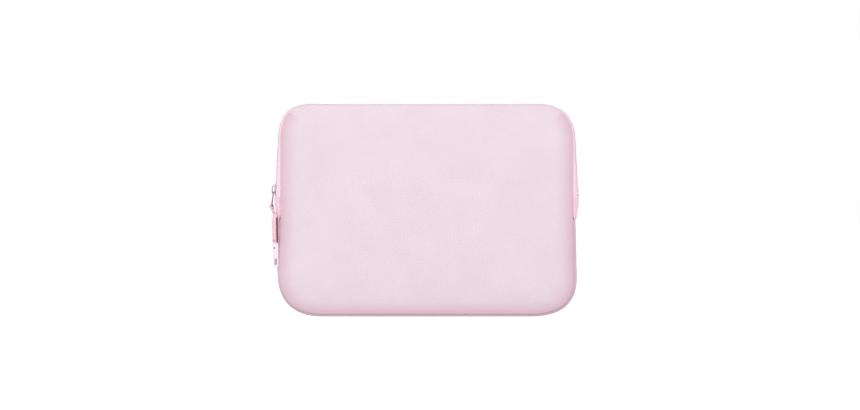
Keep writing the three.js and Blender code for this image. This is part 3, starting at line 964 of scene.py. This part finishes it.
# Dark red-pink, painted shade for the hollow inside the strap's loop.
LOOP_SHADE_SHEET = ribbed("loop_shade_sheet", colour(154, 82, 100), colour(128, 62, 80), 0.8, 0.8, 0.1)
THREAD = ribbed("thread", colour(250, 222, 232), colour(236, 198, 212), 0.3, 0.3, 0.04)
TAB_THREAD = ribbed("tab_thread", colour(250, 190, 210), colour(232, 162, 186), 0.3, 0.3, 0.04)
COIL_NYLON = grained("coil_nylon", colour(246, 214, 226), colour(232, 190, 206), 0.5, 0.02, 0.35)
# The nickel's pink tint is painted reflection of the pink fabric round it.
NICKEL_PINK_REFLECTION = brushed_metal("nickel", colour(186, 168, 176), colour(136, 116, 124))
# The link's darker nickel is painted shade.
SHADED_NICKEL = brushed_metal("shaded_nickel", colour(142, 112, 124), colour(96, 70, 80))
PULL_LEATHER = grained("pull_leather", colour(255, 243, 254), colour(246, 229, 243), 0.7, 0.05, 0.45)
PATCH_LEATHER = grained("patch_leather", colour(198, 172, 187), colour(178, 150, 166), 0.6, 0.05, 0.5)

# -------- the pieces


def bends(piece, slot, *nodes):
    """A piece of the front half: its placement is baked into its mesh, and the CAD parts it stands for are
    hidden.
    """
    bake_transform(piece)
    if nodes:
        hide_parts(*nodes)
    return piece


def rides(piece, body, slot, *nodes):
    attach(piece, body)
    if nodes:
        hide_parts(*nodes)
    return piece


def build_panels():
    layers = (
        ("skin", "cover", 0, COVER, COVER_FABRIC, "cover_fabric"),
        ("padding", "foam", COVER + GAP, FOAM, FOAM_SHEET, "foam"),
        ("inner_lining", "lining", COVER + FOAM + 2 * GAP, LINING, LINING_FABRIC, "lining"),
    )
    for word, face in (("front", -1), ("back", 1)):
        swelling = swell(face)
        for part, node, depth, thickness, material, slot in layers:
            piece = panel_layer(f"{word}_{part}", face, depth, thickness, swelling, material)
            if face < 0:
                bends(piece, slot, f"front_{node}_upper", f"front_{node}_lower")
            else:
                rides(piece, "sleeve_body", slot, f"back_{node}")


def pucker(station, y):
    """Small gathers near the seams of the lower rim, stronger round the corners."""
    turning = abs(station.normal.x * station.normal.y) * 2
    near_seam = smoothstep(abs(y), *PUCKER["near"])
    long, wide, place = PUCKER_PATCH
    wobble = noise.noise(Vector((station.length / long, y / wide, place)))
    phase = PUCKER["wander"] * wobble + (PUCKER["lag"] if y > 0 else 0)
    gathers = math.sin(station.length / PUCKER["wave"] + phase)
    slack = PUCKER["slack"] * (wobble - 0.6) * (1 - near_seam)
    return min(0.0, slack) - PUCKER["depth"] * near_seam * (0.25 + turning) * (0.5 + 0.5 * gathers)


def build_rim():
    across = spread(-RIM_HALF_WIDTH, RIM_HALF_WIDTH, RIM_STEPS_ACROSS)
    low_path = rim_path(-1, BOXING_TOP_Z)
    stations = evenly(low_path, RIM_STEP)
    # The rim strip's darker fabric is painted shade.
    strip = rim_band("rim_strip", stations, across, -BOXING, 0, RIM_FABRIC_SHADED, pucker)
    rides(strip, "sleeve_body", "cover_fabric", "boxing_strip")
    inner = spread(-BOXING_LINING_HALF, BOXING_LINING_HALF, 6)
    outer = -BOXING - GAP
    lining = rim_band("rim_strip_lining", stations, inner, outer - BOXING_LINING, outer, LINING_FABRIC)
    rides(lining, "sleeve_body", "lining", "boxing_lining")


def build_zip():
    path = rim_path(1, TAPE_BOTTOM_Z)
    stations = evenly(path, RIM_STEP)
    stitched = evenly(path, STITCH["pitch"])[1:-1]
    for word, face in (("front", -1), ("back", 1)):
        ys = spread(face * RIM_HALF_WIDTH, face * TAPE_EDGE_Y, 6)
        tape = rim_band(f"zip_tape_{word}_half", stations, ys, -TAPE, 0, ZIP_TAPE)
        teeth = zip_teeth(f"zip_teeth_{word}", face, COIL_NYLON)
        row = rim_stitches(f"stitching_tape_{word}", stitched, face * TAPE_STITCH_Y, THREAD)
        if face < 0:
            bends(tape, "zip_tape", "zip_tape_front_upper", "zip_tape_front_left", "zip_tape_front_right")
            bends(teeth, "zip_coil", "zip_coil_front_upper", "zip_coil_front_left", "zip_coil_front_right")
            bends(row, "zip_tape")
        else:
            rides(tape, "sleeve_body", "zip_tape", "zip_tape_back")
            rides(teeth, "sleeve_body", "zip_coil", "zip_coil_back")
            rides(row, "sleeve_body", "zip_tape")


def tab_lift(station, y):
    """The end tab is puffed between its stitches and flat at its ends."""
    middle = (END_TAB_LOW + END_TAB_HIGH) / 2
    reach = abs(station.z - middle) / ((END_TAB_HIGH - END_TAB_LOW) / 2)
    return TAB_PUFF * (1 - reach**4) - TAB_DIP * smoothstep(reach, 0.93, 1.0)


def tab_stitches(side, z):
    """A row of stitches across an end tab at a height."""
    station = side_path(side, z, z + 1)[0]
    surface = GAP + END_TAB
    probe = TAB_STITCH["probe"]
    row = Merged()
    for y in spread(-TAB_STITCH["reach"], TAB_STITCH["reach"], TAB_STITCH["count"]):
        here = station.point(y, surface + tab_lift(station, y) - STITCH_SUNK)
        along = (station.point(y + probe, surface) - station.point(y - probe, surface)).normalized()
        out = along.cross(Vector((0, 0, 1))) * -side
        if out.x * side < 0:
            out = -out
        row.add(stitch(here, along, out, TAB_STITCH["length"], STITCH["radius"]))
    return row


def build_end_tabs():
    across = spread(-RIM_HALF_WIDTH, RIM_HALF_WIDTH, RIM_STEPS_ACROSS)
    for word, side in (("left", -1), ("right", 1)):
        path = side_path(side, END_TAB_LOW, END_TAB_HIGH)
        name = f"zip_end_{word}"
        tab = rim_band(name, evenly(path, TAB_STEP), across, GAP - 0.1, GAP + END_TAB, TAB_FABRIC, tab_lift)
        rides(tab, "sleeve_body", "end_tab_fabric", f"end_tab_{word}")
        for number, z in enumerate((END_TAB_LOW + TAB_STITCH["inset"], END_TAB_HIGH - TAB_STITCH["inset"])):
            row = tab_stitches(side, z).piece(f"stitching_{name}_{number}", TAB_THREAD)
            rides(row, "sleeve_body", "end_tab_fabric")


def build_bindings():
    stations = whole_outline()
    for word, face in (("front", -1), ("back", 1)):
        piece = binding(f"edge_binding_{word}", face, stations, BINDING_FABRIC)
        if face < 0:
            bends(piece, "binding", "seam_binding_front_upper", "seam_binding_front_lower")
        else:
            rides(piece, "sleeve_body", "binding", "seam_binding_back")


def build_pull():
    rides(strap_webbing(WEBBING), "pull_strap", "webbing", "pull_strap")
    rides(strap_shade_sheet(LOOP_SHADE_SHEET), "pull_strap", "webbing")
    rides(strap_tacks(TAB_THREAD), "pull_strap", "webbing")
    to_place = pull_tab_frame()
    tab = rounded_slab(
        "pull_end", to_place, -PULL_LENGTH, 0, PULL_WIDTH / 2, PULL_THICKNESS / 2, *PULL_ROUNDING,
        0, PULL_LEATHER,
    )
    rides(tab, "pull_strap", "pull_leather", "pull_tab")
    middle = -PULL_LENGTH + PATCH_FROM_BOTTOM
    half = PATCH_SIZE[1] / 2
    aside = to_place @ Matrix.Translation((0, PATCH_ASIDE, 0))
    patch = rounded_slab(
        "pull_end_patch", aside, middle - half, middle + half, PATCH_SIZE[0] / 2, PATCH_HALF_THICKNESS,
        *PATCH_ROUNDING, PULL_THICKNESS / 2, PATCH_LEATHER,
    )
    rides(patch, "pull_strap", "patch_leather", "pull_tab_patch")


METAL = {"weld": 0.01, "softening": 0.18, "sharp": math.radians(35)}


def finish_metal():
    """The CAD's metal pieces keep their shape, with softened edges and a nickel finish tinted pink as painted
    reflection; the link's is darker, as painted shade.
    """
    names = ["slider_body", "slider_bridge", "pull_link", "pull_tab_rivet"]
    names += [f"zip_stop_{word}_{half}" for word in ("left", "right") for half in ("front", "back")]
    for name in names:
        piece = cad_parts[name]
        piece.data.materials.clear()
        piece.data.materials.append(SHADED_NICKEL if name == "pull_link" else NICKEL_PINK_REFLECTION)
        weld = piece.modifiers.new("weld", "WELD")
        weld.merge_threshold = METAL["weld"] * MM
        bevel = piece.modifiers.new("soft_edges", "BEVEL")
        bevel.width = METAL["softening"] * MM
        bevel.segments = 3
        bevel.angle_limit = METAL["sharp"]


# -------- studio

STAGE_RADIUS = 9.0
FLOOR_GREY = 0.3
FLOOR_GLOW = 0.92
SKY_FADE = {"From Min": -0.5, "From Max": 0.6, "To Min": 0.72, "To Max": 0.48}
LAMPS = (  # name, place, size, power
    ("key", (-0.2, -2.4, 1.3), 1.2, 38),
    ("back_fill", (0.3, 2.4, 1.1), 1.2, 34),
    ("left_fill", (-2.0, 0.5, 0.7), 1.0, 9),
    ("right_fill", (2.0, 0.5, 0.7), 1.0, 9),
)
LAMPS_AIM = (0, 0, 0.12)
LENS = 92.5
CAMERA_PLACE = (0.0037, -2.5, 0.126)


def staged(name, mesh):
    stage = bpy.data.objects.new(name, mesh)
    bpy.context.scene.collection.objects.link(stage)
    return stage


def set_inputs(node, values):
    for socket, value in values.items():
        node.inputs[socket].default_value = value


def hide_from(stage, *rays):
    for ray in rays:
        setattr(stage, f"visible_{ray}", False)


def glowing(name, grey, glow):
    """Matt white paint that also glows, so that it stays pale in shadow."""
    paint = bpy.data.materials.new(name)
    paint.use_nodes = True
    values = {
        "Base Color": (grey, grey, grey, 1),
        "Roughness": 0.9,
        "Specular IOR Level": 0.0,
        "Emission Color": (1, 1, 1, 1),
        "Emission Strength": glow,
    }
    set_inputs(paint.node_tree.nodes["Principled BSDF"], values)
    return paint


def build_floor():
    """A plain white floor. It doesn't light the object from below."""
    mesh = bpy.data.meshes.new("floor")
    corners = [(x * STAGE_RADIUS, y * STAGE_RADIUS, 0) for x, y in ((-1, -1), (1, -1), (1, 1), (-1, 1))]
    mesh.from_pydata(corners, [], [(0, 1, 2, 3)])
    mesh.materials.append(glowing("floor_paint", FLOOR_GREY, FLOOR_GLOW))
    hide_from(staged("floor", mesh), "diffuse", "glossy")


def build_backdrop():
    """A plain white dome round the scene, which only the camera sees."""
    shell = bmesh.new()
    bmesh.ops.create_uvsphere(shell, u_segments=48, v_segments=24, radius=STAGE_RADIUS)
    mesh = bpy.data.meshes.new("backdrop")
    shell.to_mesh(mesh)
    shell.free()
    mesh.materials.append(glowing("backdrop_paint", 0.0, 1.0))
    hide_from(staged("backdrop", mesh), "diffuse", "glossy", "transmission", "shadow")


def build_sky():
    """Even soft light from all round, stronger from below."""
    world = bpy.data.worlds.new("studio")
    world.use_nodes = True
    tree = world.node_tree
    background = tree.nodes["Background"]
    background.inputs["Color"].default_value = (1, 1, 1, 1)
    way = tree.nodes.new("ShaderNodeTexCoord")
    parts = tree.nodes.new("ShaderNodeSeparateXYZ")
    fade = tree.nodes.new("ShaderNodeMapRange")
    fade.interpolation_type = "SMOOTHSTEP"
    set_inputs(fade, SKY_FADE)
    tree.links.new(way.outputs["Generated"], parts.inputs["Vector"])
    tree.links.new(parts.outputs["Z"], fade.inputs["Value"])
    tree.links.new(fade.outputs["Result"], background.inputs["Strength"])
    bpy.context.scene.world = world


def build_studio():
    build_floor()
    build_backdrop()
    build_sky()
    for lamp in LAMPS:
        area_light(*lamp)


def area_light(name, place, size, power):
    lamp = bpy.data.lights.new(name, "AREA")
    lamp.shape = "SQUARE"
    lamp.size = size
    lamp.energy = power
    holder = bpy.data.objects.new(name, lamp)
    holder.location = place
    holder.rotation_euler = (Vector(LAMPS_AIM) - Vector(place)).to_track_quat("-Z", "Y").to_euler()
    bpy.context.scene.collection.objects.link(holder)


def build_camera():
    lens = bpy.data.cameras.new("camera")
    lens.sensor_width = 36
    lens.lens = LENS
    camera = bpy.data.objects.new("camera", lens)
    camera.location = CAMERA_PLACE
    camera.rotation_euler = (math.pi / 2, 0, 0)
    bpy.context.scene.collection.objects.link(camera)
    bpy.context.scene.camera = camera


bpy.context.scene.view_settings.view_transform = "Standard"
build_camera()
build_studio()
build_panels()
build_rim()
build_zip()
build_end_tabs()
build_bindings()
build_pull()
finish_metal()
